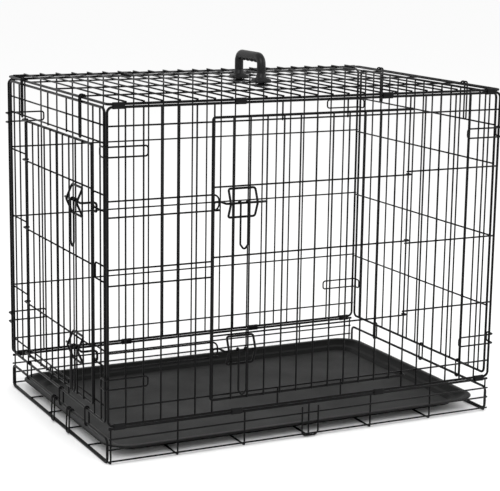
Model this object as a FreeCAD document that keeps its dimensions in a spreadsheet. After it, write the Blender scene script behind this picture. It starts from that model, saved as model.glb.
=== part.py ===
import FreeCAD, Part

import math
import os

# Wire dog crate with two doors, built as welded wire panels, hooks, latches, a tray and a handle.
# Frame: +X along the crate, +Y towards the back, +Z up, floor at z = 0, centre at x = y = 0.

os.makedirs("parts", exist_ok=True)
doc = FreeCAD.newDocument("wire_dog_crate")
V = FreeCAD.Vector

SIZES = {
    "pitch": 31.75,            # spacing of the upright wires
    "length": 762.0,           # corner post to corner post
    "depth": 508.0,
    "wire": 3.0,               # mesh wire gauge
    "rail": 4.5,               # posts, rails and door frames
    "latch": 4.0,              # bolts and brackets
    "pull": 3.5,               # latch handles
    "grip": 17.0,              # plastic carry handle
    "weld": 0.3,               # how deep crossing wires are welded into each other
    "swing": 0.4,              # play of the door hooks round their upright
    "base_rail_z": 62.5,
    "foot_rail_z": 67.5,
    "end_rail_z": 44.0,        # top run of the base's end frames, the hinge line of the ends
    "head_rail_z": 600.0,
    "roof_rail_z": 605.0,
    "panel_rise": 532.5,       # foot rail to head rail
    "end_foot_z": 70.5,
    "end_head_z": 598.0,
    "end_rise": 527.5,
    "end_inset": 12.0,         # end panels stand inside the long panels
    "front_door_foot": 91.5,
    "front_door_head": 577.0,
    "front_door_rise": 485.5,
    "left_door_foot": 91.5,
    "left_door_head": 534.0,
    "left_door_rise": 442.5,
    "keeper_half": 13.5,       # half the height of a keeper hairpin
    "tray_length": 748.0,
    "tray_depth": 490.0,
    "tray_floor_z": 6.0,
    "tray_height": 18.0,
    "tray_wall": 2.5,
    "tray_flare": 24.0,
    "clip_length": 20.0,
    "clip_wall": 1.0,
    "handle_reach": 46.0,
    "handle_rise": 46.0,
}

sheet = doc.addObject("Spreadsheet::Sheet", "Sizes")
for row, (alias, value) in enumerate(SIZES.items(), start=1):
    sheet.set(f"A{row}", alias)
    sheet.set(f"B{row}", str(value))
    sheet.setAlias(f"B{row}", alias)
doc.recompute()


def size(alias):
    return float(sheet.get(alias))


PITCH, LENGTH, DEPTH = size("pitch"), size("length"), size("depth")
WIRE, RAIL, LATCH, PULL = size("wire"), size("rail"), size("latch"), size("pull")
LAP = WIRE - size("weld")                      # centre distance of two welded mesh wires
RAIL_LAP = (WIRE + RAIL) / 2 - size("weld")    # centre distance of a mesh wire welded on a rail
BASE_Z, FOOT_Z, END_RAIL = size("base_rail_z"), size("foot_rail_z"), size("end_rail_z")
HEAD_Z, ROOF_Z = size("head_rail_z"), size("roof_rail_z")
END_FOOT, END_HEAD, INSET = size("end_foot_z"), size("end_head_z"), size("end_inset")

# Layers across a door, measured outwards from the panel's upright wires.
DOOR_RAIL_W = WIRE / 2 + size("swing") + RAIL / 2
DOOR_BAR_W = DOOR_RAIL_W + RAIL_LAP
DOOR_LINE_W = DOOR_BAR_W - LAP
BRACKET_W = DOOR_BAR_W + (WIRE + LATCH) / 2 - size("weld")
BOLT_W = BRACKET_W + 5.2
BULGE_W = BOLT_W + 5.5
KEEPER_W = -WIRE
EYE_W = KEEPER_W - WIRE / 2 - 0.5 - LATCH / 2


def front(u, w, z):
    """A point on the front side: u from its left corner, w outwards."""
    return V(u - LENGTH / 2, -DEPTH / 2 - w, z)


def back(u, w, z):
    return V(u - LENGTH / 2, DEPTH / 2 + w, z)


def left(u, w, z):
    """A point on the left end: u from its front corner, w outwards."""
    return V(-LENGTH / 2 - w, u - DEPTH / 2, z)


def right(u, w, z):
    return V(LENGTH / 2 + w, u - DEPTH / 2, z)


def rod(gauge, start, end, span=None):
    """A straight wire. Its radius, and where given its length, come from the sheet."""
    cylinder = doc.addObject("Part::Cylinder", "Rod")
    cylinder.Height = (end - start).Length
    cylinder.Placement = FreeCAD.Placement(start, FreeCAD.Rotation(V(0, 0, 1), end - start))
    cylinder.setExpression("Radius", f"Sizes.{gauge} / 2")
    if span:
        cylinder.setExpression("Height", f"Sizes.{span}")
    return cylinder


def rounded_path(points, radius, closed):
    """Straight runs through the points, with a bend of the given radius at each corner."""
    count = len(points)
    corners = range(count) if closed else range(1, count - 1)
    runs, bends = {}, {}
    for i in corners:
        here, before, after = points[i], points[i - 1], points[(i + 1) % count]
        to_before, to_after = (before - here).normalize(), (after - here).normalize()
        half = to_before.getAngle(to_after) / 2
        if half > math.pi / 2 - 1e-3:
            continue
        reach = radius / math.tan(half)
        start, end = here + to_before * reach, here + to_after * reach
        middle = (to_before + to_after).normalize()
        top = here + middle * (radius / math.sin(half) - radius)
        bends[i], runs[i] = Part.Arc(start, top, end).toShape(), (start, end)
    edges = []
    for i in range(count if closed else count - 1):
        j = (i + 1) % count
        start = runs[i][1] if i in runs else points[i]
        end = runs[j][0] if j in runs else points[j]
        if (end - start).Length > 1e-3:
            edges.append(Part.makeLine(start, end))
        if j in bends and (closed or j != count - 1):
            edges.append(bends[j])
    return Part.Wire(edges)


def bent(gauge, points, radius, closed=False):
    """A bent wire: a circle from the sheet's gauge swept along the rounded path."""
    spine = doc.addObject("Part::Feature", "Path")
    spine.Shape = rounded_path(points, radius, closed)
    first = spine.Shape.Edges[0]
    section = doc.addObject("Part::Circle", "Section")
    section.setExpression("Radius", f"Sizes.{gauge} / 2")
    section.Placement = FreeCAD.Placement(
        first.valueAt(first.FirstParameter),
        FreeCAD.Rotation(V(0, 0, 1), first.tangentAt(first.FirstParameter)),
    )
    sweep = doc.addObject("Part::Sweep", "Bent")
    sweep.Sections = [section]
    sweep.Spine = (spine, [f"Edge{i + 1}" for i in range(len(spine.Shape.Edges))])
    sweep.Solid = True
    sweep.Frenet = False
    return sweep


NODES = []


def node(name, pieces, kind="Part::MultiFuse"):
    """One named sub-part: a fused weldment, a single piece, or a group of loose solids."""
    if len(pieces) == 1:
        made = pieces[0]
    else:
        made = doc.addObject(kind, name)
        if kind == "Part::MultiFuse":
            made.Shapes = pieces
        else:
            made.Links = pieces
    made.Label = name
    NODES.append(made)
    return made


def group(name, pieces):
    return node(name, pieces, "Part::Compound")


# ---- base: floor grid, front and back upstands, end frames -----------------------------------
FLOOR_Z = WIRE / 2
FLOOR_LINE_Z = FLOOR_Z + LAP
CROSS_U = [4.5] + [PITCH * 4 * k for k in range(1, 6)] + [LENGTH - 4.5]
UPSTAND_LEVELS = [FLOOR_LINE_Z + 2.0, 27.0, 45.0]
FLOOR_ROWS = 5

floor = [rod("wire", front(u, -WIRE, FLOOR_Z), back(u, -WIRE, FLOOR_Z)) for u in CROSS_U]
for k in range(1, FLOOR_ROWS):
    v = DEPTH * k / FLOOR_ROWS
    floor.append(rod("wire", left(v, -2.1, FLOOR_LINE_Z), right(v, -2.1, FLOOR_LINE_Z)))
node("base_floor_grid", floor)


def upstand(name, side):
    """The turned-up edge of the base along one long side, with its four long wires."""
    bends = [
        bent("wire", [side(u, -WIRE, FLOOR_Z), side(u, 0, FLOOR_Z), side(u, 0, BASE_Z)], 2.5)
        for u in CROSS_U
    ]
    lines = [rod("wire", side(0, LAP, z), side(LENGTH, LAP, z), "length") for z in UPSTAND_LEVELS]
    top = rod("rail", side(0, 0, BASE_Z), side(LENGTH, 0, BASE_Z), "length")
    node(name, bends + lines + [top])


upstand("base_front_upstand", front)
upstand("base_back_upstand", back)


def end_frame(name, side):
    """The closed frame at one end of the base; its top run carries the folding end panel."""
    low, high, near, far = RAIL / 2, END_RAIL, 4.2, DEPTH - 4.2
    corners = [(DEPTH / 2, low), (far, low), (far, high), (near, high), (near, low)]
    node(name, [bent("rail", [side(u, 0, z) for u, z in corners], 9.0, closed=True)])


end_frame("base_left_end_frame", left)
end_frame("base_right_end_frame", right)

STOP_U = LENGTH / 2
stop = [(STOP_U - 16, 58), (STOP_U - 16, 4), (STOP_U + 16, 4), (STOP_U + 16, 58)]
node("front_pan_stop", [bent("wire", [front(u, LAP + WIRE, z) for u, z in stop], 8.0)])

# ---- long panels -----------------------------------------------------------------------------
FRONT_LEFT_BAYS, FRONT_RIGHT_BAY, BAYS_LONG = 6, 18, 24
BAY_OVERHANG = WIRE / 2 + 0.35
POST_BEND = 9.0           # bend radius of the panels' corners


def c_frame(side, corner, edge, foot, head):
    """Half of a panel's bent outline: head rail, corner post and foot rail in one wire."""
    return bent("rail", [side(edge, 0, head), side(corner, 0, head),
                         side(corner, 0, foot), side(edge, 0, foot)], POST_BEND)


def uprights(side, places, foot, head, span=None, w=0.0):
    return [rod("wire", side(u, w, foot), side(u, w, head), span) for u in places]


def lines(side, start, end, levels, w=-LAP):
    return [rod("wire", side(start, w, z), side(end, w, z)) for z in levels]


def bay(name, side, corner, edge, places, levels, foot, head, span):
    node(name, [c_frame(side, corner, edge, foot, head)]
         + uprights(side, places, foot, head, span)
         + lines(side, corner, edge, levels))


def strip(name, side, start, end, rail_z, line_levels, stubs):
    """The strip above or below a doorway: its rail, its lines and the short stubs between."""
    rail = rod("rail", side(start, 0, rail_z), side(end, 0, rail_z))
    reach = line_levels[-1]
    posts = [rod("wire", side(u, 0, rail_z), side(u, 0, reach + math.copysign(2.0, reach - rail_z)))
             for u in stubs]
    node(name, [rail] + posts + lines(side, start, end, line_levels))


FRONT_EDGE, FRONT_PIN = FRONT_LEFT_BAYS * PITCH, FRONT_RIGHT_BAY * PITCH
FRONT_SILL, FRONT_LINTEL = 97.0, 569.0
bay("front_panel_left_bay", front, 0, FRONT_EDGE + BAY_OVERHANG,
    [PITCH * k for k in range(1, 7)], [FRONT_SILL, FRONT_LINTEL], FOOT_Z, HEAD_Z, "panel_rise")
bay("front_panel_right_bay", front, LENGTH, FRONT_PIN - BAY_OVERHANG,
    [PITCH * k for k in range(18, 24)], [FRONT_SILL, 209.5, 335.0, 465.0, FRONT_LINTEL],
    FOOT_Z, HEAD_Z, "panel_rise")
for name, rail_z, level in (("front_panel_header", HEAD_Z, FRONT_LINTEL),
                            ("front_panel_sill", FOOT_Z, FRONT_SILL)):
    strip(name, front, FRONT_EDGE + BAY_OVERHANG, FRONT_PIN - BAY_OVERHANG, rail_z, [level],
          [PITCH * 10, PITCH * 14])


KEEPER_START = 1.8        # the hairpin's two ends stop just beside the post
KEEPER_REACH = 11.0       # how far the closed end passes the doorway edge


def keeper(name, side, corner, reach, middle, radius, w=KEEPER_W):
    """A long hairpin welded across a bay; its closed end is what the bolt hooks behind."""
    start, half = corner + KEEPER_START, size("keeper_half")
    path = [(start, middle - half), (reach, middle - half), (reach, middle + half), (start, middle + half)]
    node(name, [bent("wire", [side(u, w, z) for u, z in path], radius)])


FRONT_LATCHES = {"upper": 433.0, "lower": 178.0}
for level, z in FRONT_LATCHES.items():
    keeper(f"front_keeper_{level}", front, 0, FRONT_EDGE + KEEPER_REACH, z, 11.0)
keeper("front_mid_tie", front, 0, FRONT_EDGE, 319.0, 4.0)

outline = [(LENGTH / 2, FOOT_Z), (LENGTH, FOOT_Z), (LENGTH, HEAD_Z), (0, HEAD_Z), (0, FOOT_Z)]
node("back_panel", [bent("rail", [back(u, 0, z) for u, z in outline], POST_BEND, closed=True)]
     + uprights(back, [PITCH * k for k in range(1, BAYS_LONG)], FOOT_Z, HEAD_Z, "panel_rise")
     + lines(back, 0, LENGTH, [97.0, 204.0, 338.0, 472.0]))

# ---- roof ------------------------------------------------------------------------------------
ROOF_END = 1.0            # the roof's end runs stand this far inside the end panels
rim = [front(LENGTH / 2, 0, ROOF_Z), front(LENGTH - ROOF_END, 0, ROOF_Z),
       back(LENGTH - ROOF_END, 0, ROOF_Z), back(ROOF_END, 0, ROOF_Z), front(ROOF_END, 0, ROOF_Z)]
CROSS_Z = ROOF_Z + RAIL_LAP
ROOF_ROWS = 4
roof = [bent("rail", rim, POST_BEND - ROOF_END, closed=True)]
roof += [rod("wire", front(PITCH * k, 3.0, CROSS_Z), back(PITCH * k, 3.0, CROSS_Z))
         for k in range(1, BAYS_LONG)]
roof += [rod("wire", left(DEPTH * k / ROOF_ROWS, -ROOF_END, CROSS_Z - LAP),
             right(DEPTH * k / ROOF_ROWS, -ROOF_END, CROSS_Z - LAP)) for k in range(1, ROOF_ROWS)]
node("roof_panel", roof)

# ---- end panels ------------------------------------------------------------------------------
LEFT_EDGE, LEFT_PIN = 2 * PITCH, 13 * PITCH
LEFT_SILL, LEFT_LINTELS = 97.0, [569.0, 540.0]
END_NEAR, END_FAR = INSET, DEPTH - INSET
bay("left_end_front_bay", left, END_NEAR, LEFT_EDGE + BAY_OVERHANG, [PITCH, LEFT_EDGE],
    [LEFT_SILL] + LEFT_LINTELS, END_FOOT, END_HEAD, "end_rise")
bay("left_end_back_bay", left, END_FAR, LEFT_PIN - BAY_OVERHANG,
    [PITCH * k for k in (13, 14, 15)], [LEFT_SILL, 202.0, 341.0, 469.0] + LEFT_LINTELS,
    END_FOOT, END_HEAD, "end_rise")
strip("left_end_header", left, LEFT_EDGE + BAY_OVERHANG, LEFT_PIN - BAY_OVERHANG, END_HEAD,
      LEFT_LINTELS, [PITCH * 6, PITCH * 9])
strip("left_end_sill", left, LEFT_EDGE + BAY_OVERHANG, LEFT_PIN - BAY_OVERHANG, END_FOOT,
      [LEFT_SILL], [PITCH * 6, PITCH * 9])
LEFT_LATCHES = {"upper": 433.0, "lower": 178.0}
LEFT_KEEPERS = {"upper": 441.0, "lower": 178.0}
for level, z in LEFT_KEEPERS.items():
    keeper(f"left_keeper_{level}", left, END_NEAR, LEFT_EDGE + KEEPER_REACH, z, 11.0)
keeper("left_mid_tie", left, END_NEAR, LEFT_EDGE, 322.0, 4.0)

end_outline = [(DEPTH / 2, END_FOOT), (END_FAR, END_FOOT), (END_FAR, END_HEAD),
               (END_NEAR, END_HEAD), (END_NEAR, END_FOOT)]
node("right_end_panel", [bent("rail", [right(u, 0, z) for u, z in end_outline], POST_BEND, closed=True)]
     + uprights(right, [PITCH * k for k in range(1, 16)], END_FOOT, END_HEAD, "end_rise")
     + lines(right, END_NEAR, END_FAR, [202.0, 335.0, 469.0, 540.0]))

HOOK_U, HOOK_HALF, HOOK_W = [115.0, 419.0], 4.0, RAIL_LAP
HOOK_FOOT = 538.5         # just above the end door's top rail
LOOP_U = [100.0, 230.0, 408.0]


def top_hook(side, u):
    """A hairpin up the outside of an end panel whose two tips curl over the roof's end run."""
    over, inside = ROOF_Z + 4.6, -5.6
    a, b = u - HOOK_HALF, u + HOOK_HALF
    return bent("wire", [side(a, inside, 603), side(a, inside, over), side(a, HOOK_W, over),
                         side(a, HOOK_W, HOOK_FOOT), side(b, HOOK_W, HOOK_FOOT), side(b, HOOK_W, over),
                         side(b, inside, over), side(b, inside, 603)], 3.9)


def fold_loop(side, u):
    """A closed loop round the base's end run and the foot of the end panel: its hinge."""
    w = (RAIL + WIRE) / 2 + 0.08
    low, high = END_RAIL - w, END_FOOT + w
    return bent("wire", [side(u, 0, low), side(u, w, low), side(u, w, high), side(u, -w, high),
                         side(u, -w, low)], w - 0.02, closed=True)


for name, side in (("left", left), ("right", right)):
    group(f"{name}_end_top_hooks", [top_hook(side, u) for u in HOOK_U])
    group(f"{name}_end_hinge_loops", [fold_loop(side, u) for u in LOOP_U])

# ---- corner rings ----------------------------------------------------------------------------
RING_LONG, RING_SHORT, RING_HALF = 70.0, 17.0, 8.5
RING_W = (WIRE + RAIL) / 2 + 0.1


def corner_ring(side, u, turn, z):
    """A closed ring along a long panel, turned in at the corner to hold the end panel."""
    far, near = u + turn * RING_LONG, u - turn * 6.0
    plan = [(far, RING_W), (near, RING_W), (near, -RING_SHORT)]
    low = [side(a, w, z - RING_HALF) for a, w in plan]
    high = [side(a, w, z + RING_HALF) for a, w in reversed(plan)]
    middle = (low[0] + low[1]) * 0.5
    return bent("wire", [middle] + low[1:] + high + low[:1], 5.0, closed=True)


for name, side in (("front", front), ("back", back)):
    for level, z in (("upper", 528.0), ("lower", 140.0)):
        group(f"{name}_corner_rings_{level}",
              [corner_ring(side, 0, 1, z), corner_ring(side, LENGTH, -1, z)])

# ---- crimped clips that join the long panels to base and roof --------------------------------
CLIP_PITCHES = (0.618, 7.5, 16.5, 23.382)      # clear of the bends and of the uprights


def clip_profile(start, low, high):
    def stadium(radius):
        rise = high - low
        a, b = V(0, -radius, 0), V(0, radius, 0)
        c, d = V(0, radius, rise), V(0, -radius, rise)
        return Part.Face(Part.Wire([Part.Arc(a, V(0, 0, -radius), b).toShape(), Part.makeLine(b, c),
                                    Part.Arc(c, V(0, 0, rise + radius), d).toShape(),
                                    Part.makeLine(d, a)]))
    inner = RAIL / 2 + 0.05
    face = stadium(inner + size("clip_wall")).cut(stadium(inner))
    face.translate(start)
    return face


def clip(side, u, low, high):
    profile = doc.addObject("Part::Feature", "ClipProfile")
    profile.Shape = clip_profile(side(u - size("clip_length") / 2, 0, low), low, high)
    sleeve = doc.addObject("Part::Extrusion", "Clip")
    sleeve.Base = profile
    sleeve.DirMode = "Custom"
    sleeve.Dir = V(1, 0, 0)
    sleeve.Solid = True
    sleeve.setExpression("LengthFwd", "Sizes.clip_length")
    return sleeve


for name, side in (("front", front), ("back", back)):
    for level, low, high in (("foot", BASE_Z, FOOT_Z), ("roof", HEAD_Z, ROOF_Z)):
        group(f"{name}_{level}_clips", [clip(side, PITCH * k, low, high) for k in CLIP_PITCHES])


# ---- doors -----------------------------------------------------------------------------------
def hooked(gauge, side, start, pin, w, z):
    """A door wire whose end curls round the hinge upright."""
    return bent(gauge, [side(start, w, z), side(pin + w, w, z), side(pin + w, -w, z),
                        side(pin - 1.0, -w, z)], w - 0.05)


def door(name, side, edge, pin, bars, levels, foot, head, span):
    rail_end = pin + DOOR_RAIL_W
    w, out = DOOR_RAIL_W, edge - 4.5
    frame = bent("rail", [side(pin - 1.0, -w, head), side(rail_end, -w, head), side(rail_end, w, head),
                          side(out, w, head), side(out, w, foot), side(rail_end, w, foot),
                          side(rail_end, -w, foot), side(pin - 1.0, -w, foot)], w - 0.05)
    posts = uprights(side, bars, foot, head, span, DOOR_BAR_W)
    rows = [hooked("wire", side, out, pin, DOOR_LINE_W, z) for z in levels]
    node(name, [frame] + posts + rows)


door("front_door", front, FRONT_EDGE, FRONT_PIN, [PITCH * k for k in range(7, 18)],
     [204.5, 341.0, 460.5], size("front_door_foot"), size("front_door_head"), "front_door_rise")
door("left_door", left, LEFT_EDGE, LEFT_PIN, [PITCH * k for k in range(3, 13)],
     [191.0, 333.0, 460.5], size("left_door_foot"), size("left_door_head"), "left_door_rise")


def latch(name, side, edge, z):
    """Bracket on the door, bolt through it, and the pull that hangs from the bolt."""
    near, far = edge + 21.5, edge + 71.5
    top, foot = z + 24.5, z - 24.5
    loop = [((near + far) / 2, BRACKET_W, top), (far, BRACKET_W, top), (far, BULGE_W, z),
            (far, BRACKET_W, foot), (near, BRACKET_W, foot), (near, BULGE_W, z),
            (near, BRACKET_W, top)]
    node(f"{name}_bracket", [bent("latch", [side(*p) for p in loop], 4.0, closed=True)])
    eye = [(edge + 92, BOLT_W, z), (edge + 16, BOLT_W, z), (edge + 16, EYE_W, z),
           (edge + 3.5, EYE_W, z), (edge + 3.5, EYE_W, z - 14), (edge + 14, EYE_W, z - 14)]
    node(f"{name}_bolt", [bent("latch", [side(*p) for p in eye], 3.5)])
    ring = (LATCH + PULL) / 2 + 0.06
    outer, inner, tip = BOLT_W + ring, BOLT_W - ring, z - 80
    a, b, m = edge + 40.5, edge + 55.5, edge + 48
    pull = [(a, inner, z - 2.5), (a, inner, z + ring), (a, outer, z + ring), (a, outer, tip + 10),
            (m, outer, tip), (b, outer, tip + 10), (b, outer, z + ring), (b, inner, z + ring),
            (b, inner, z - 2.5)]
    node(f"{name}_pull", [bent("pull", [side(*p) for p in pull], ring - 0.03)])


for level, z in FRONT_LATCHES.items():
    latch(f"front_{level}", front, FRONT_EDGE, z)
for level, z in LEFT_LATCHES.items():
    latch(f"left_{level}", left, LEFT_EDGE, z)


# ---- tray ------------------------------------------------------------------------------------
def tray_outline(inset, z, radius):
    """A rounded rectangle round the tray, drawn inset from its rim."""
    x, y = size("tray_length") / 2 - inset, size("tray_depth") / 2 - inset
    corners = [V(0, -y, z), V(x, -y, z), V(x, y, z), V(-x, y, z), V(-x, -y, z)]
    path = doc.addObject("Part::Feature", "TrayOutline")
    path.Shape = rounded_path(corners, radius, closed=True)
    return path


def tray_block(sections):
    loft = doc.addObject("Part::Loft", "TrayBlock")
    loft.Sections, loft.Solid, loft.Ruled = sections, True, True
    return loft


WALL, FLARE = size("tray_wall"), size("tray_flare")
TRAY_LOW = size("tray_floor_z")
TRAY_TOP = TRAY_LOW + size("tray_height")
LIP = 9.0
outer = tray_block([tray_outline(FLARE + LIP, TRAY_LOW, 30), tray_outline(LIP, TRAY_TOP - WALL, 42)])
ledge = tray_block([tray_outline(0, TRAY_TOP - WALL, 46), tray_outline(0, TRAY_TOP, 46)])
hollow = tray_block([tray_outline(FLARE + LIP + WALL, TRAY_LOW + WALL, 28),
                     tray_outline(LIP + WALL, TRAY_TOP, 40)])
shell = doc.addObject("Part::MultiFuse", "TrayShell")
shell.Shapes = [outer, ledge]
tray = doc.addObject("Part::Cut", "Tray")
tray.Base, tray.Tool = shell, hollow
node("tray", [tray])

# ---- tray hangers on the left end run --------------------------------------------------------
def hanger(u):
    """A hairpin hung on the base's left end run, down over the edge of the tray as its stop."""
    w = (RAIL + WIRE) / 2 + 0.08
    a, b, tip = u - 7, u + 7, w + 1.6
    path = [(a, -w, END_RAIL - 2), (a, -w, END_RAIL + w), (a, w, END_RAIL + w), (a, tip, 4),
            (b, tip, 4), (b, w, END_RAIL + w), (b, -w, END_RAIL + w), (b, -w, END_RAIL - 2)]
    return bent("wire", [left(*p) for p in path], w - 0.02)


group("tray_hangers", [hanger(183.0), hanger(262.0)])

# ---- carry handle ----------------------------------------------------------------------------
CROSS_TOP = CROSS_Z + WIRE / 2
REACH, RISE = size("handle_reach"), size("handle_rise")


def box(centre, spans):
    """A box over a base centre point, with spans along x, y and z."""
    block = doc.addObject("Part::Box", "Block")
    block.Length, block.Width, block.Height = spans
    block.Placement.Base = centre - V(spans[0] / 2, spans[1] / 2, 0)
    return block


arch = bent("grip", [V(0, -REACH, CROSS_TOP + 4), V(0, -REACH, CROSS_TOP + RISE),
                     V(0, REACH, CROSS_TOP + RISE), V(0, REACH, CROSS_TOP + 4)], 14.0)
feet = [box(V(0, y, CROSS_TOP), (34, 26, 7)) for y in (-REACH, REACH)]
fingers = []
for y in (-24, -8, 8, 24):
    ridge = doc.addObject("Part::Sphere", "FingerRidge")
    ridge.Radius = 7.5
    ridge.Placement.Base = V(0, y, CROSS_TOP + RISE - 4.5)
    fingers.append(ridge)
node("carry_handle", [arch] + feet + fingers)
PLATE = 3.0
group("carry_handle_plates", [box(V(0, y, CROSS_TOP - WIRE - PLATE), (34, 22, PLATE))
                              for y in (-REACH, REACH)])
screws = []
for y in (-REACH, REACH):
    for x in (-10, 10):
        shank = doc.addObject("Part::Cylinder", "Shank")
        shank.Radius, shank.Height = 1.5, WIRE
        shank.Placement.Base = V(x, y, CROSS_TOP - WIRE)
        head = doc.addObject("Part::Cylinder", "Head")
        head.Radius, head.Height = 3.2, 2.0
        head.Placement.Base = V(x, y, CROSS_TOP - WIRE - PLATE - 2.0)
        screws += [shank, head]
group("carry_handle_screws", screws)

# ---- recompute, check and write --------------------------------------------------------------
doc.recompute()
problems = [o.Name for o in doc.Objects if "Invalid" in o.State or "Error" in o.State]
if problems:
    raise RuntimeError(f"objects in error: {problems}")
for made in NODES:
    shape = made.Shape
    if shape.isNull() or not shape.isValid() or not shape.Solids:
        raise RuntimeError(f"{made.Label} has no valid solid")
    bounds = shape.BoundBox
    print(f"{made.Label:26s} solids {len(shape.Solids):3d}  volume {shape.Volume / 1000:8.2f} cm3"
          f"  z {bounds.ZMin:7.2f} to {bounds.ZMax:7.2f}")
    shape.exportStep(f"parts/{made.Label}.step")
print(len(NODES), "nodes written")
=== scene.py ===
import math

import bpy
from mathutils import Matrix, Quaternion, Vector


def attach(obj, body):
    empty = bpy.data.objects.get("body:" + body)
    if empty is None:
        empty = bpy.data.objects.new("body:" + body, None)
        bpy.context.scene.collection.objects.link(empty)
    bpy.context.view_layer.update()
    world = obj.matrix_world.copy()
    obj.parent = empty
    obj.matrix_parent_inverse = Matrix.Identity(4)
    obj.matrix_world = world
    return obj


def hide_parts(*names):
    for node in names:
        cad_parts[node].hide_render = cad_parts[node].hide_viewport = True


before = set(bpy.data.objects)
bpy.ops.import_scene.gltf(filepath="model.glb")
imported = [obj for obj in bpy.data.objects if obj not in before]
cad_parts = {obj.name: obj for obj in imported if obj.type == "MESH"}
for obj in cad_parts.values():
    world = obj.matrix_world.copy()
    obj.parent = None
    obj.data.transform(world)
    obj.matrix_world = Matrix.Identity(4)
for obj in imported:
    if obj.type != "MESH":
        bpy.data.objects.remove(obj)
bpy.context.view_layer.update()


# ---- materials -------------------------------------------------------------------------------
def new_material(name, base, rough, metallic=0.0, coat=0.0, gloss=0.5):
    material = bpy.data.materials.new(name)
    material.use_nodes = True
    shader = material.node_tree.nodes["Principled BSDF"]
    shader.inputs["Base Color"].default_value = (*base, 1.0)
    shader.inputs["Roughness"].default_value = rough
    shader.inputs["Metallic"].default_value = metallic
    shader.inputs["Coat Weight"].default_value = coat
    shader.inputs["Specular IOR Level"].default_value = gloss
    return material, material.node_tree, shader


def add_node(tree, kind, **values):
    made = tree.nodes.new(kind)
    for socket, value in values.items():
        made.inputs[socket.replace("_", " ")].default_value = value
    return made


def ramp(tree, source, low, high, start=0.3, end=0.7):
    made = tree.nodes.new("ShaderNodeValToRGB")
    made.color_ramp.elements[0].position, made.color_ramp.elements[0].color = start, (*low, 1)
    made.color_ramp.elements[1].position, made.color_ramp.elements[1].color = end, (*high, 1)
    tree.links.new(source, made.inputs["Fac"])
    return made.outputs["Color"]


def mottled(name, low, high, rough, grain, depth, scale, coat=0.0, metallic=0.0, gloss=0.2):
    """A surface with slow colour and gloss variation and a fine grain."""
    material, tree, shader = new_material(name, low, rough[0], metallic, coat, gloss)
    coords = tree.nodes.new("ShaderNodeTexCoord").outputs["Object"]
    slow = add_node(tree, "ShaderNodeTexNoise", Scale=scale, Detail=3.0)
    fine = add_node(tree, "ShaderNodeTexNoise", Scale=grain, Detail=2.0)
    for texture in (slow, fine):
        tree.links.new(coords, texture.inputs["Vector"])
    tree.links.new(ramp(tree, slow.outputs["Fac"], low, high), shader.inputs["Base Color"])
    gloss = ramp(tree, slow.outputs["Fac"], (rough[0],) * 3, (rough[1],) * 3)
    tree.links.new(gloss, shader.inputs["Roughness"])
    bump = add_node(tree, "ShaderNodeBump", Strength=0.35, Distance=depth)
    tree.links.new(fine.outputs["Fac"], bump.inputs["Height"])
    tree.links.new(bump.outputs["Normal"], shader.inputs["Normal"])
    return material


ENAMEL = mottled("black_enamel", (0.0012, 0.0012, 0.0014), (0.003, 0.003, 0.0032), (0.3, 0.42),
                 900, 0.0002, 30, coat=0.03, gloss=0.08)
SHEET = mottled("black_sheet", (0.0015, 0.0015, 0.0017), (0.004, 0.004, 0.0042), (0.36, 0.48),
                600, 0.0003, 40, coat=0.03, gloss=0.1)
TRAY_PLASTIC = mottled("tray_plastic", (0.0012, 0.0013, 0.0012), (0.003, 0.0033, 0.0031), (0.4, 0.52),
                       420, 0.0006, 9, gloss=0.1)
HANDLE_PLASTIC = mottled("handle_plastic", (0.003, 0.003, 0.0033), (0.006, 0.006, 0.0063), (0.35, 0.48),
                         700, 0.0003, 25, gloss=0.22)
ZINC = mottled("zinc", (0.42, 0.42, 0.43), (0.56, 0.56, 0.58), (0.3, 0.42),
               500, 0.0001, 60, metallic=1.0, gloss=0.5)

# ---- wires -----------------------------------------------------------------------------------
MM = 0.001
PITCH, LENGTH, DEPTH = 31.75, 762.0, 508.0
WIRE, RAIL, LATCH, PULL = 3.0, 4.5, 4.0, 3.5
LAP, RAIL_LAP, POST_BEND = 2.7, 3.45, 9.0
BASE_Z, FOOT_Z, HEAD_Z, ROOF_Z = 62.5, 67.5, 600.0, 605.0
END_RAIL, END_FOOT, END_HEAD = 44.0, 70.5, 598.0
END_INSET = 12.0                # the end panels stand this far inside the long ones
END_NEAR, END_FAR = END_INSET, DEPTH - END_INSET
KEEPER_HALF, KEEPER_START = 13.5, 1.8
HOOK_FOOT = 538.5               # just above the end door's top rail
WELD = 1.7                      # radius of a weld's swelling


def front(u, w, z):
    """A point on the front side: u from its left corner, w outwards."""
    return Vector((u - LENGTH / 2, -DEPTH / 2 - w, z))


def back(u, w, z):
    return Vector((u - LENGTH / 2, DEPTH / 2 + w, z))


def left(u, w, z):
    """A point on the left end: u from its front corner, w outwards."""
    return Vector((-LENGTH / 2 - w, u - DEPTH / 2, z))


def right(u, w, z):
    return Vector((LENGTH / 2 + w, u - DEPTH / 2, z))


def rounded(points, radius, closed):
    """The points of a bent wire's centre line, with each corner turned on an arc."""
    count, path = len(points), []
    for i, here in enumerate(points):
        if not closed and i in (0, count - 1):
            path.append(here)
            continue
        before = (points[i - 1] - here).normalized()
        after = (points[(i + 1) % count] - here).normalized()
        half = before.angle(after) / 2
        if half > math.pi / 2 - 1e-3:
            path.append(here)
            continue
        reach = radius / math.tan(half)
        centre = here + (before + after).normalized() * (radius / math.sin(half))
        first, last = here + before * reach - centre, here + after * reach - centre
        turn = math.pi - 2 * half
        steps = max(3, round(turn / 0.2))
        axis = first.cross(last).normalized()
        path += [centre + Quaternion(axis, turn * k / steps) @ first for k in range(steps + 1)]
    return path


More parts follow.
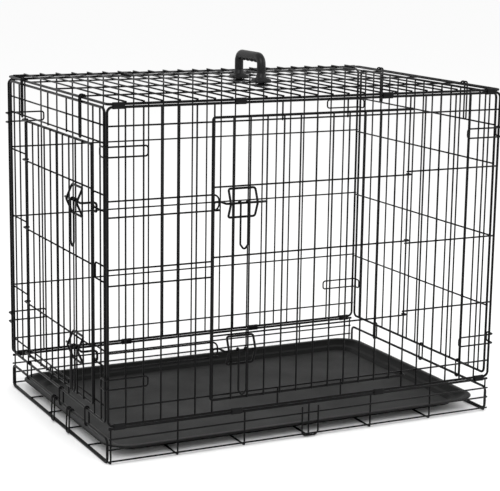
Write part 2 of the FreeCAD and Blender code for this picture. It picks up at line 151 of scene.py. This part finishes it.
class Wires:
    """Tubes gathered into one mesh."""

    def __init__(self):
        self.points, self.faces = [], []

    def tube(self, gauge, path, closed=False, sides=14):
        """A tube along the path, with a small chamfer on its open ends."""
        radius, count = gauge / 2, len(path)
        first = len(self.points)
        tangents = []
        for i in range(count):
            a = path[i - 1] if (i or closed) else path[i]
            b = path[(i + 1) % count] if (i < count - 1 or closed) else path[i]
            tangents.append((b - a).normalized())
        spoke = tangents[0].orthogonal().normalized()
        if not closed:
            cap = radius * 0.3
            rings = [(path[0], 0.72), (path[0] + tangents[0] * cap, 1.0)]
            rings += [(p, 1.0) for p in path[1:-1]]
            rings += [(path[-1] - tangents[-1] * cap, 1.0), (path[-1], 0.72)]
            tangents = [tangents[0], tangents[0]] + tangents[1:-1] + [tangents[-1], tangents[-1]]
        else:
            rings = [(p, 1.0) for p in path]
        start_spoke = spoke
        for (centre, scale), tangent in zip(rings, tangents):
            spoke = (spoke - tangent * spoke.dot(tangent)).normalized()
            other = tangent.cross(spoke)
            for k in range(sides):
                angle = 2 * math.pi * k / sides
                offset = spoke * math.cos(angle) + other * math.sin(angle)
                self.points.append(centre + offset * radius * scale)
        total = len(rings)
        twist = 0
        if closed:
            home = (start_spoke - tangents[0] * start_spoke.dot(tangents[0])).normalized()
            landed = (spoke - tangents[0] * spoke.dot(tangents[0])).normalized()
            angle = math.atan2(tangents[0].dot(home.cross(landed)), home.dot(landed))
            twist = round(angle / (2 * math.pi / sides))
        for i in range(total if closed else total - 1):
            j = (i + 1) % total
            shift = twist if j == 0 else 0
            for k in range(sides):
                a, b = first + i * sides + k, first + i * sides + (k + 1) % sides
                c = first + j * sides + (k + 1 + shift) % sides
                d = first + j * sides + (k + shift) % sides
                self.faces.append((a, b, c, d))
        if not closed:
            self.faces.append(tuple(first + k for k in reversed(range(sides))))
            self.faces.append(tuple(first + (total - 1) * sides + k for k in range(sides)))

    def rod(self, gauge, start, end):
        self.tube(gauge, [start, end])

    def bent(self, gauge, points, radius, closed=False):
        self.tube(gauge, rounded(points, radius, closed), closed)

    def weld(self, centre, along, size=WELD):
        """The small swelling where two wires are welded."""
        first, rows, sides = len(self.points), 5, 8
        across = along.orthogonal().normalized()
        other = along.cross(across)
        for r in range(rows):
            phi = math.pi * (r + 0.5) / rows
            for k in range(sides):
                angle = 2 * math.pi * k / sides
                ring = across * math.cos(angle) + other * math.sin(angle)
                self.points.append(centre + (ring * math.sin(phi) + along * math.cos(phi) * 1.25) * size)
        for r in range(rows - 1):
            for k in range(sides):
                a, b = first + r * sides + k, first + r * sides + (k + 1) % sides
                self.faces.append((b, a, a + sides, b + sides))
        self.faces.append(tuple(first + k for k in range(sides)))
        self.faces.append(tuple(first + (rows - 1) * sides + k for k in reversed(range(sides))))

    def piece(self, name, body, nodes, material, slot="wire"):
        make_piece(name, self.points, self.faces, body, nodes, material)


def make_piece(name, points, faces, body, nodes, material):
    mesh = bpy.data.meshes.new(name)
    mesh.from_pydata([p * MM for p in points], [], faces)
    mesh.validate()
    for polygon in mesh.polygons:
        polygon.use_smooth = len(polygon.vertices) == 4
    mesh.materials.append(material)
    obj = bpy.data.objects.new(name, mesh)
    bpy.context.scene.collection.objects.link(obj)
    if nodes:
        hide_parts(*nodes)
    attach(obj, body)


# ---- base ------------------------------------------------------------------------------------
CROSS_INSET, END_RUN_INSET = 4.5, 4.2
CROSS_BEND, END_RUN_BEND = 2.5, 9.0
CROSS_U = [CROSS_INSET] + [PITCH * 4 * k for k in range(1, 6)] + [LENGTH - CROSS_INSET]
FLOOR_Z, FLOOR_LINE_Z, FLOOR_WELD_Z = 1.5, 4.2, 2.9
FLOOR_LINE_END = 2.1            # short of the centre line of each end frame
UPSTAND_LEVELS = [FLOOR_LINE_Z + 2.0, 27.0, 45.0]
STOP_HALF, STOP_LOW, STOP_TOP, STOP_BEND = 16, 4, 58, 8.0
base = Wires()
for u in CROSS_U:
    path = [front(u, 0, BASE_Z), front(u, 0, FLOOR_Z), back(u, 0, FLOOR_Z), back(u, 0, BASE_Z)]
    base.bent(WIRE, path, CROSS_BEND)
for k in range(1, 5):
    v = DEPTH * k / 5
    base.rod(WIRE, left(v, -FLOOR_LINE_END, FLOOR_LINE_Z), right(v, -FLOOR_LINE_END, FLOOR_LINE_Z))
    for u in CROSS_U:
        base.weld(Vector((u - LENGTH / 2, v - DEPTH / 2, FLOOR_WELD_Z)), Vector((0, 0, 1)))
for side in (front, back):
    base.rod(RAIL, side(0, 0, BASE_Z), side(LENGTH, 0, BASE_Z))
    for z in UPSTAND_LEVELS:
        base.rod(WIRE, side(0, LAP, z), side(LENGTH, LAP, z))
        for u in CROSS_U:
            base.weld(side(u, LAP / 2, z), side(0, 1, 0) - side(0, 0, 0))
for side in (left, right):
    low, near, far = RAIL / 2, END_RUN_INSET, DEPTH - END_RUN_INSET
    corners = [(DEPTH / 2, low), (far, low), (far, END_RAIL), (near, END_RAIL), (near, low)]
    base.bent(RAIL, [side(u, 0, z) for u, z in corners], END_RUN_BEND, closed=True)
base.piece("base_wires", "crate", ["base_floor_grid", "base_front_upstand", "base_back_upstand",
                                   "base_left_end_frame", "base_right_end_frame"], ENAMEL)
stop = Wires()
middle = LENGTH / 2
path = [(middle - STOP_HALF, STOP_TOP), (middle - STOP_HALF, STOP_LOW),
        (middle + STOP_HALF, STOP_LOW), (middle + STOP_HALF, STOP_TOP)]
stop.bent(WIRE, [front(u, LAP + WIRE, z) for u, z in path], STOP_BEND)
stop.piece("pan_stop_wire", "crate", ["front_pan_stop"], ENAMEL)


# ---- panels ----------------------------------------------------------------------------------
SILL_LINE, HEADER_LINE, LINTEL_LINE = 97.0, 569.0, 540.0
STUB = 2.0                      # a short upright passes its line by this much
LATCH_LEVELS = (("upper", 433.0), ("lower", 178.0))
LEFT_KEEPER_LEVELS = (("upper", 441.0), ("lower", 178.0))
KEEPER_PAST, KEEPER_BEND, KEEPER_WELD = 11, 11.0, 1.6
FRONT_TIE_Z, LEFT_TIE_Z, TIE_BEND = 319.0, 322.0, 4.0


def mesh_of(wires, side, places, foot, head, levels, start, end, uprights=True):
    """Uprights and lines of a panel, with a weld at each crossing."""
    outward = side(0, 1, 0) - side(0, 0, 0)
    if uprights:
        for u in places:
            wires.rod(WIRE, side(u, 0, foot), side(u, 0, head))
    for z in levels:
        wires.rod(WIRE, side(start - WIRE / 2, -LAP, z), side(end + WIRE / 2, -LAP, z))
        for u in places:
            if start - 1 < u < end + 1 and foot < z < head:
                wires.weld(side(u, -LAP / 2, z), outward)


FRONT_EDGE, FRONT_PIN = 6 * PITCH, 18 * PITCH
panel = Wires()
outline = [(LENGTH / 2, FOOT_Z), (LENGTH, FOOT_Z), (LENGTH, HEAD_Z), (0, HEAD_Z), (0, FOOT_Z)]
panel.bent(RAIL, [front(u, 0, z) for u, z in outline], POST_BEND, closed=True)
mesh_of(panel, front, [PITCH * k for k in range(1, 7)], FOOT_Z, HEAD_Z, [], 0, LENGTH)
mesh_of(panel, front, [PITCH * k for k in range(18, 24)], FOOT_Z, HEAD_Z, [209.5, 335.0, 465.0],
        FRONT_PIN, LENGTH)
mesh_of(panel, front, [PITCH * k for k in (*range(1, 7), *range(18, 24))], FOOT_Z, HEAD_Z,
        [SILL_LINE, HEADER_LINE], 0, LENGTH, uprights=False)
for u in (PITCH * 10, PITCH * 14):
    panel.rod(WIRE, front(u, 0, FOOT_Z), front(u, 0, SILL_LINE + STUB))
    panel.rod(WIRE, front(u, 0, HEADER_LINE - STUB), front(u, 0, HEAD_Z))
    panel.weld(front(u, -LAP / 2, SILL_LINE), Vector((0, 1, 0)))
    panel.weld(front(u, -LAP / 2, HEADER_LINE), Vector((0, 1, 0)))
panel.piece("front_panel_wires", "crate", ["front_panel_left_bay", "front_panel_right_bay",
                                           "front_panel_header", "front_panel_sill"], ENAMEL)


def keeper(name, body, nodes, side, corner, reach, middle, radius, places):
    """A long hairpin welded across a bay, with a weld on each upright that it crosses."""
    wires, w = Wires(), -WIRE
    start, low, high = corner + KEEPER_START, middle - KEEPER_HALF, middle + KEEPER_HALF
    path = [(start, low), (reach, low), (reach, high), (start, high)]
    wires.bent(WIRE, [side(u, w, z) for u, z in path], radius)
    outward = side(0, 1, 0) - side(0, 0, 0)
    for u in places:
        for z in (low, high):
            wires.weld(side(u, w / 2, z), outward, KEEPER_WELD)
    wires.piece(name, body, nodes, ENAMEL)


for level, z in LATCH_LEVELS:
    keeper(f"front_keeper_{level}_wire", "crate", [f"front_keeper_{level}"], front, 0,
           FRONT_EDGE + KEEPER_PAST, z, KEEPER_BEND, [PITCH * k for k in range(1, 7)])
keeper("front_mid_tie_wire", "crate", ["front_mid_tie"], front, 0, FRONT_EDGE, FRONT_TIE_Z, TIE_BEND,
       [PITCH * k for k in range(1, 6)])

panel = Wires()
panel.bent(RAIL, [back(u, 0, z) for u, z in outline], POST_BEND, closed=True)
mesh_of(panel, back, [PITCH * k for k in range(1, 24)], FOOT_Z, HEAD_Z,
        [SILL_LINE, 204.0, 338.0, 472.0], 0, LENGTH)
panel.piece("back_panel_wires", "crate", ["back_panel"], ENAMEL)

roof = Wires()
rim = [front(LENGTH / 2, 0, ROOF_Z), front(LENGTH - 1, 0, ROOF_Z), back(LENGTH - 1, 0, ROOF_Z),
       back(1, 0, ROOF_Z), front(1, 0, ROOF_Z)]
CROSS_Z = ROOF_Z + RAIL_LAP
roof.bent(RAIL, rim, POST_BEND - 1, closed=True)
for k in range(1, 24):
    roof.rod(WIRE, front(PITCH * k, 3.0, CROSS_Z), back(PITCH * k, 3.0, CROSS_Z))
    for v in range(5):
        lift = 1.2 if v in (0, 4) else LAP / 2
        roof.weld(Vector((PITCH * k - LENGTH / 2, DEPTH * (v / 4 - 0.5), CROSS_Z - lift)),
                  Vector((0, 0, 1)))
for k in range(1, 4):
    roof.rod(WIRE, left(DEPTH * k / 4, -1, CROSS_Z - LAP), right(DEPTH * k / 4, -1, CROSS_Z - LAP))
roof.piece("roof_wires", "crate", ["roof_panel"], ENAMEL)

LEFT_EDGE, LEFT_PIN = 2 * PITCH, 13 * PITCH
end_outline = [(DEPTH / 2, END_FOOT), (END_FAR, END_FOOT), (END_FAR, END_HEAD), (END_NEAR, END_HEAD),
               (END_NEAR, END_FOOT)]
panel = Wires()
panel.bent(RAIL, [left(u, 0, z) for u, z in end_outline], POST_BEND, closed=True)
mesh_of(panel, left, [PITCH, LEFT_EDGE], END_FOOT, END_HEAD, [], END_NEAR, END_FAR)
mesh_of(panel, left, [PITCH * k for k in (13, 14, 15)], END_FOOT, END_HEAD, [202.0, 341.0, 469.0],
        LEFT_PIN, END_FAR)
mesh_of(panel, left, [PITCH * k for k in (1, 2, 13, 14, 15)], END_FOOT, END_HEAD,
        [SILL_LINE, LINTEL_LINE, HEADER_LINE], END_NEAR, END_FAR, uprights=False)
for u in (PITCH * 6, PITCH * 9):
    panel.rod(WIRE, left(u, 0, END_FOOT), left(u, 0, SILL_LINE + STUB))
    panel.rod(WIRE, left(u, 0, LINTEL_LINE - STUB), left(u, 0, END_HEAD))
panel.piece("left_end_wires", "left_end", ["left_end_front_bay", "left_end_back_bay",
                                           "left_end_header", "left_end_sill"], ENAMEL)
for level, z in LEFT_KEEPER_LEVELS:
    keeper(f"left_keeper_{level}_wire", "left_end", [f"left_keeper_{level}"], left, END_NEAR,
           LEFT_EDGE + KEEPER_PAST, z, KEEPER_BEND, [PITCH, LEFT_EDGE])
keeper("left_mid_tie_wire", "left_end", ["left_mid_tie"], left, END_NEAR, LEFT_EDGE, LEFT_TIE_Z,
       TIE_BEND, [PITCH])

panel = Wires()
panel.bent(RAIL, [right(u, 0, z) for u, z in end_outline], POST_BEND, closed=True)
mesh_of(panel, right, [PITCH * k for k in range(1, 16)], END_FOOT, END_HEAD,
        [202.0, 335.0, 469.0, LINTEL_LINE], END_NEAR, END_FAR)
panel.piece("right_end_wires", "right_end", ["right_end_panel"], ENAMEL)


HOOK_U, HOOK_HALF, HOOK_END, HOOK_BEND = (115.0, 419.0), 4, 603, 3.9
LOOP_U = (100.0, 230.0, 408.0)
TURN_W = (RAIL + WIRE) / 2 + 0.08       # a wire that turns round a rail, with a little play
TURN_BEND = TURN_W - 0.02


def top_hook(wires, side, u):
    over, inside, a, b = ROOF_Z + 4.6, -5.6, u - HOOK_HALF, u + HOOK_HALF
    path = [(a, inside, HOOK_END), (a, inside, over), (a, RAIL_LAP, over), (a, RAIL_LAP, HOOK_FOOT),
            (b, RAIL_LAP, HOOK_FOOT), (b, RAIL_LAP, over), (b, inside, over), (b, inside, HOOK_END)]
    wires.bent(WIRE, [side(*p) for p in path], HOOK_BEND)


def fold_loop(wires, side, u):
    w = TURN_W
    low, high = END_RAIL - w, END_FOOT + w
    path = [(u, 0, low), (u, w, low), (u, w, high), (u, -w, high), (u, -w, low)]
    wires.bent(WIRE, [side(*p) for p in path], TURN_BEND, closed=True)


for name, side in (("left", left), ("right", right)):
    hooks, loops = Wires(), Wires()
    for u in HOOK_U:
        top_hook(hooks, side, u)
    for u in LOOP_U:
        fold_loop(loops, side, u)
    hooks.piece(f"{name}_top_hook_wires", f"{name}_end", [f"{name}_end_top_hooks"], ENAMEL)
    loops.piece(f"{name}_hinge_loop_wires", f"{name}_end", [f"{name}_end_hinge_loops"], ENAMEL)


# ---- corner rings and clips ------------------------------------------------------------------
RING_LONG, RING_SHORT, RING_PAST, RING_HALF, RING_BEND = 70.0, 17.0, 6.0, 8.5, 5.0
RING_W = (WIRE + RAIL) / 2 + 0.1
CLIP_PITCHES, CLIP_HALF = (0.618, 7.5, 16.5, 23.382), 10.0


def corner_ring(wires, side, u, turn, z):
    near = u - turn * RING_PAST
    plan = [(u + turn * RING_LONG, RING_W), (near, RING_W), (near, -RING_SHORT)]
    low = [side(a, b, z - RING_HALF) for a, b in plan]
    high = [side(a, b, z + RING_HALF) for a, b in reversed(plan)]
    wires.bent(WIRE, [(low[0] + low[1]) * 0.5] + low[1:] + high + low[:1], RING_BEND, closed=True)


for name, side in (("front", front), ("back", back)):
    for level, z in (("upper", 528.0), ("lower", 140.0)):
        rings = Wires()
        corner_ring(rings, side, 0, 1, z)
        corner_ring(rings, side, LENGTH, -1, z)
        rings.piece(f"{name}_ring_wires_{level}", "crate", [f"{name}_corner_rings_{level}"], ENAMEL)


def clip(points, faces, side, u, low, high):
    """A crimped sleeve: an oblong tube with rolled ends and a waist pressed between the rails."""
    outer, inner, half, steps = RAIL / 2 + 1.05, RAIL / 2 + 0.05, CLIP_HALF, 10
    section = []
    for centre, start in ((low, math.pi), (high, 0.0)):
        for k in range(steps + 1):
            angle = start + math.pi * k / steps
            section.append((math.cos(angle), centre, math.sin(angle)))
    rings = [(-half, inner), (-half, outer - 0.2), (-half + 0.6, outer), (-half + 6, outer - 0.12),
             (0, outer - 0.2), (half - 6, outer - 0.12), (half - 0.6, outer), (half, outer - 0.2),
             (half, inner)]
    first, count = len(points), len(section)
    for x, radius in rings:
        for c, centre, s in section:
            points.append(side(u + x, c * radius, centre + s * radius))
    for r in range(len(rings)):
        for k in range(count):
            a, b = first + r * count + k, first + r * count + (k + 1) % count
            n = first + ((r + 1) % len(rings)) * count
            faces.append((a, b, n + (k + 1) % count, n + k))


for name, side in (("front", front), ("back", back)):
    for level, low, high in (("foot", BASE_Z, FOOT_Z), ("roof", HEAD_Z, ROOF_Z)):
        points, faces = [], []
        for k in CLIP_PITCHES:
            clip(points, faces, side, PITCH * k, low, high)
        make_piece(f"{name}_{level}_sleeves", points, faces, "crate", [f"{name}_{level}_clips"],
                   SHEET)

# ---- doors and latches -----------------------------------------------------------------------
DOOR_LAP = 4.5                  # a door's free rail lies this far past its opening's upright
DOOR_FOOT, FRONT_DOOR_HEAD, LEFT_DOOR_HEAD = 91.5, 577.0, 534.0
BRACKET_NEAR, BRACKET_FAR, BRACKET_HALF, BRACKET_BEND = 21.5, 71.5, 24.5, 4.0
BOLT_TAIL, BOLT_TURN, BOLT_TIP, BOLT_BACK, BOLT_DROP, BOLT_BEND = 92, 16, 3.5, 14, 14, 3.5
PULL_U, PULL_HALF, PULL_LENGTH, PULL_POINT, PULL_END = 48, 7.5, 80, 10, 2.5
HANGER_U, HANGER_HALF, HANGER_END, HANGER_TIP_Z, HANGER_SPLAY = (183.0, 262.0), 7, 2, 4, 1.6
DOOR_RAIL_W = WIRE / 2 + 0.4 + RAIL / 2
DOOR_BAR_W = DOOR_RAIL_W + RAIL_LAP
DOOR_LINE_W = DOOR_BAR_W - LAP
BRACKET_W = DOOR_BAR_W + (WIRE + LATCH) / 2 - 0.3
BOLT_W = BRACKET_W + 5.2
BULGE_W = BOLT_W + 5.5
EYE_W = -WIRE - WIRE / 2 - 0.5 - LATCH / 2


def door(name, node, side, edge, pin, places, levels, foot, head):
    wires, w, out = Wires(), DOOR_RAIL_W, edge - DOOR_LAP
    outward = side(0, 1, 0) - side(0, 0, 0)
    path = [(pin - 1, -w, head), (pin + w, -w, head), (pin + w, w, head), (out, w, head),
            (out, w, foot), (pin + w, w, foot), (pin + w, -w, foot), (pin - 1, -w, foot)]
    wires.bent(RAIL, [side(*p) for p in path], w - 0.05)
    for u in places:
        wires.rod(WIRE, side(u, DOOR_BAR_W, foot - WIRE / 2), side(u, DOOR_BAR_W, head + WIRE / 2))
    w = DOOR_LINE_W
    for z in levels:
        path = [(out, w, z), (pin + w, w, z), (pin + w, -w, z), (pin - 1, -w, z)]
        wires.bent(WIRE, [side(*p) for p in path], w - 0.05)
        for u in places:
            wires.weld(side(u, DOOR_BAR_W - LAP / 2, z), outward)
    wires.piece(name, node, [node], ENAMEL)


door("front_door_wires", "front_door", front, FRONT_EDGE, FRONT_PIN,
     [PITCH * k for k in range(7, 18)], [204.5, 341.0, 460.5], DOOR_FOOT, FRONT_DOOR_HEAD)
door("left_door_wires", "left_door", left, LEFT_EDGE, LEFT_PIN, [PITCH * k for k in range(3, 13)],
     [191.0, 333.0, 460.5], DOOR_FOOT, LEFT_DOOR_HEAD)


def latch(name, body, side, edge, z):
    bracket, bolt, pull = Wires(), Wires(), Wires()
    near, far, top, foot = edge + BRACKET_NEAR, edge + BRACKET_FAR, z + BRACKET_HALF, z - BRACKET_HALF
    loop = [((near + far) / 2, BRACKET_W, top), (far, BRACKET_W, top), (far, BULGE_W, z),
            (far, BRACKET_W, foot), (near, BRACKET_W, foot), (near, BULGE_W, z), (near, BRACKET_W, top)]
    bracket.bent(LATCH, [side(*p) for p in loop], BRACKET_BEND, closed=True)
    bracket.piece(f"{name}_bracket_wire", body, [f"{name}_bracket"], ENAMEL)
    turn, end = edge + BOLT_TURN, edge + BOLT_TIP
    eye = [(edge + BOLT_TAIL, BOLT_W, z), (turn, BOLT_W, z), (turn, EYE_W, z), (end, EYE_W, z),
           (end, EYE_W, z - BOLT_DROP), (edge + BOLT_BACK, EYE_W, z - BOLT_DROP)]
    bolt.bent(LATCH, [side(*p) for p in eye], BOLT_BEND)
    bolt.piece(f"{name}_bolt_wire", f"{name}_bolt", [f"{name}_bolt"], ENAMEL)
    ring = (LATCH + PULL) / 2 + 0.06
    outer, inner, tip = BOLT_W + ring, BOLT_W - ring, z - PULL_LENGTH
    m = edge + PULL_U
    a, b, shoulder = m - PULL_HALF, m + PULL_HALF, tip + PULL_POINT
    path = [(a, inner, z - PULL_END), (a, inner, z + ring), (a, outer, z + ring), (a, outer, shoulder),
            (m, outer, tip), (b, outer, shoulder), (b, outer, z + ring), (b, inner, z + ring),
            (b, inner, z - PULL_END)]
    pull.bent(PULL, [side(*p) for p in path], ring - 0.03)
    pull.piece(f"{name}_pull_wire", f"{name}_pull", [f"{name}_pull"], ENAMEL)


for level, z in LATCH_LEVELS:
    latch(f"front_{level}", "front_door", front, FRONT_EDGE, z)
    latch(f"left_{level}", "left_door", left, LEFT_EDGE, z)

hangers = Wires()
for u in HANGER_U:
    a, b, w, tip = u - HANGER_HALF, u + HANGER_HALF, TURN_W, TURN_W + HANGER_SPLAY
    top, end = END_RAIL + w, END_RAIL - HANGER_END
    path = [(a, -w, end), (a, -w, top), (a, w, top), (a, tip, HANGER_TIP_Z),
            (b, tip, HANGER_TIP_Z), (b, w, top), (b, -w, top), (b, -w, end)]
    hangers.bent(WIRE, [left(*p) for p in path], TURN_BEND)
hangers.piece("tray_hanger_wires", "tray_hangers", ["tray_hangers"], ENAMEL)


# ---- tray ------------------------------------------------------------------------------------
TRAY_HALF_X, TRAY_HALF_Y = 374.0, 245.0


def loop_at(inset, z, radius, steps=10):
    """A rounded rectangle of points round the tray."""
    x, y = TRAY_HALF_X - inset, TRAY_HALF_Y - inset
    radius = min(radius, y)
    points = []
    for cx, cy, start in ((x, y, 0), (-x, y, 90), (-x, -y, 180), (x, -y, 270)):
        for k in range(steps + 1):
            angle = math.radians(start + 90 * k / steps)
            points.append(Vector((math.copysign(abs(cx) - radius, cx) + radius * math.cos(angle),
                                  math.copysign(abs(cy) - radius, cy) + radius * math.sin(angle), z)))
    return points


TRAY_RINGS = [(33, 6.4, 30), (34, 6.0, 30), (32, 6.6, 31), (26, 12.5, 34), (24, 13.4, 35), (18, 14.6, 37),
              (9.5, 21.4, 42), (8.5, 21.8, 42), (0.8, 21.6, 46), (0.1, 22.2, 46), (0.0, 23.2, 46),
              (0.8, 23.9, 46), (3.0, 24.0, 45), (8.0, 23.9, 44), (10.2, 23.3, 42), (11.5, 22.0, 41),
              (20.5, 16.2, 37), (22.5, 15.4, 36), (28.0, 14.6, 35), (30.5, 13.6, 33), (35.5, 9.2, 30),
              (37.0, 8.6, 29)]
points, faces = [], []
for inset, z, radius in TRAY_RINGS:
    points += loop_at(inset, z, radius)
around = len(loop_at(0, 0, 40))
for r in range(len(TRAY_RINGS) - 1):
    for k in range(around):
        a, b = r * around + k, r * around + (k + 1) % around
        faces.append((a, b, b + around, a + around))
last = (len(TRAY_RINGS) - 1) * around
faces.append(tuple(reversed(range(around))))
faces.append(tuple(last + k for k in range(around)))
make_piece("tray_pan", points, faces, "tray", ["tray"], TRAY_PLASTIC)

# ---- carry handle ----------------------------------------------------------------------------
CROSS_TOP = CROSS_Z + WIRE / 2
GRIP_HALF, GRIP_FOOT, GRIP_TOP, GRIP_GAUGE, GRIP_BEND = 46, 4, 46, 16.0, 14.0
RIDGE_U, RIDGE_Z, RIDGE = (-24, -8, 8, 24), 41.5, 7.0
FOOT_SIDES = 32
handle = Wires()
path = [(-GRIP_HALF, GRIP_FOOT), (-GRIP_HALF, GRIP_TOP), (GRIP_HALF, GRIP_TOP), (GRIP_HALF, GRIP_FOOT)]
path = [Vector((0, y, CROSS_TOP + z)) for y, z in path]
handle.tube(GRIP_GAUGE, rounded(path, GRIP_BEND, False), sides=24)
for y in RIDGE_U:
    handle.weld(Vector((0, y, CROSS_TOP + RIDGE_Z)), Vector((0, 1, 0)), RIDGE)
handle.piece("handle_grip", "crate", ["carry_handle"], HANDLE_PLASTIC, "handle")
for index, y in enumerate((-GRIP_HALF, GRIP_HALF)):
    points, faces = [], []
    rings = [(17, 13, 0.0), (17, 13, 4.5), (16, 12, 6.2), (13, 11, 7.0), (10, 9.8, 9.0), (8.6, 8.8, 13.0),
             (8.0, 8.2, 18.0)]
    for sx, sy, z in rings:
        for k in range(FOOT_SIDES):
            angle = 2 * math.pi * (k + 0.5) / FOOT_SIDES
            c, s = math.cos(angle), math.sin(angle)
            power = 0.45 if z < 8 else 1.0
            points.append(Vector((math.copysign(abs(c) ** power, c) * sx,
                                  y + math.copysign(abs(s) ** power, s) * sy, CROSS_TOP + z)))
    for r in range(len(rings) - 1):
        for k in range(FOOT_SIDES):
            a, b = r * FOOT_SIDES + k, r * FOOT_SIDES + (k + 1) % FOOT_SIDES
            faces.append((a, b, b + FOOT_SIDES, a + FOOT_SIDES))
    faces.append(tuple(reversed(range(FOOT_SIDES))))
    faces.append(tuple((len(rings) - 1) * FOOT_SIDES + k for k in range(FOOT_SIDES)))
    make_piece(f"handle_foot_{index}", points, faces, "crate", [], HANDLE_PLASTIC)

for name, material in (("carry_handle_plates", HANDLE_PLASTIC), ("carry_handle_screws", ZINC)):
    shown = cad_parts[name]
    shown.data.materials.clear()
    shown.data.materials.append(material)
    bevel = shown.modifiers.new("edge", "BEVEL")
    bevel.width, bevel.segments, bevel.limit_method = 0.0005, 3, "ANGLE"

# ---- floor, light and camera -----------------------------------------------------------------
FLOOR = 60                      # metres from the middle of the floor to its edge
floor_mesh = bpy.data.meshes.new("floor")
corners = [(-FLOOR, -FLOOR, 0), (FLOOR, -FLOOR, 0), (FLOOR, FLOOR, 0), (-FLOOR, FLOOR, 0)]
floor_mesh.from_pydata(corners, [], [(0, 1, 2, 3)])
floor = bpy.data.objects.new("floor", floor_mesh)
floor_material, _, _ = new_material("pale_floor", (0.96, 0.96, 0.96), 0.95, gloss=0.0)
floor_mesh.materials.append(floor_material)
bpy.context.scene.collection.objects.link(floor)

world = bpy.data.worlds.new("studio")
bpy.context.scene.world = world
bpy.context.scene.view_settings.view_transform = "Standard"
world.use_nodes = True
world.node_tree.nodes["Background"].inputs["Color"].default_value = (1, 1, 1, 1)
world.node_tree.nodes["Background"].inputs["Strength"].default_value = 1.0


def soft_light(name, place, target, size, power):
    data = bpy.data.lights.new(name, "AREA")
    data.shape, data.size, data.size_y, data.energy = "RECTANGLE", size[0], size[1], power
    lamp = bpy.data.objects.new(name, data)
    lamp.location = place
    lamp.rotation_euler = (Vector(target) - Vector(place)).to_track_quat("-Z", "Y").to_euler()
    bpy.context.scene.collection.objects.link(lamp)


soft_light("key", (-1.6, -2.4, 2.6), (0, 0, 0.25), (1.8, 1.8), 60)
soft_light("fill", (2.6, -1.6, 1.6), (0, 0, 0.3), (1.6, 1.6), 25)

AZIMUTH, ELEVATION, ROLL = math.radians(-26.62), math.radians(11.39), math.radians(0.86)
DISTANCE, LENS = 2.938, 112.1
TARGET = Vector((0.0052, -0.0007, 0.2983))
camera_data = bpy.data.cameras.new("camera")
camera = bpy.data.objects.new("camera", camera_data)
bpy.context.scene.collection.objects.link(camera)
bpy.context.scene.camera = camera
camera_data.sensor_width = 36.0
camera_data.lens = LENS
away = Vector((math.sin(AZIMUTH) * math.cos(ELEVATION), -math.cos(AZIMUTH) * math.cos(ELEVATION),
               math.sin(ELEVATION)))
camera.location = TARGET + away * DISTANCE
facing = (-away).to_track_quat("-Z", "Y")
camera.rotation_euler = (facing @ Quaternion((0, 0, 1), ROLL)).to_euler()
camera_data.clip_end = 200.0
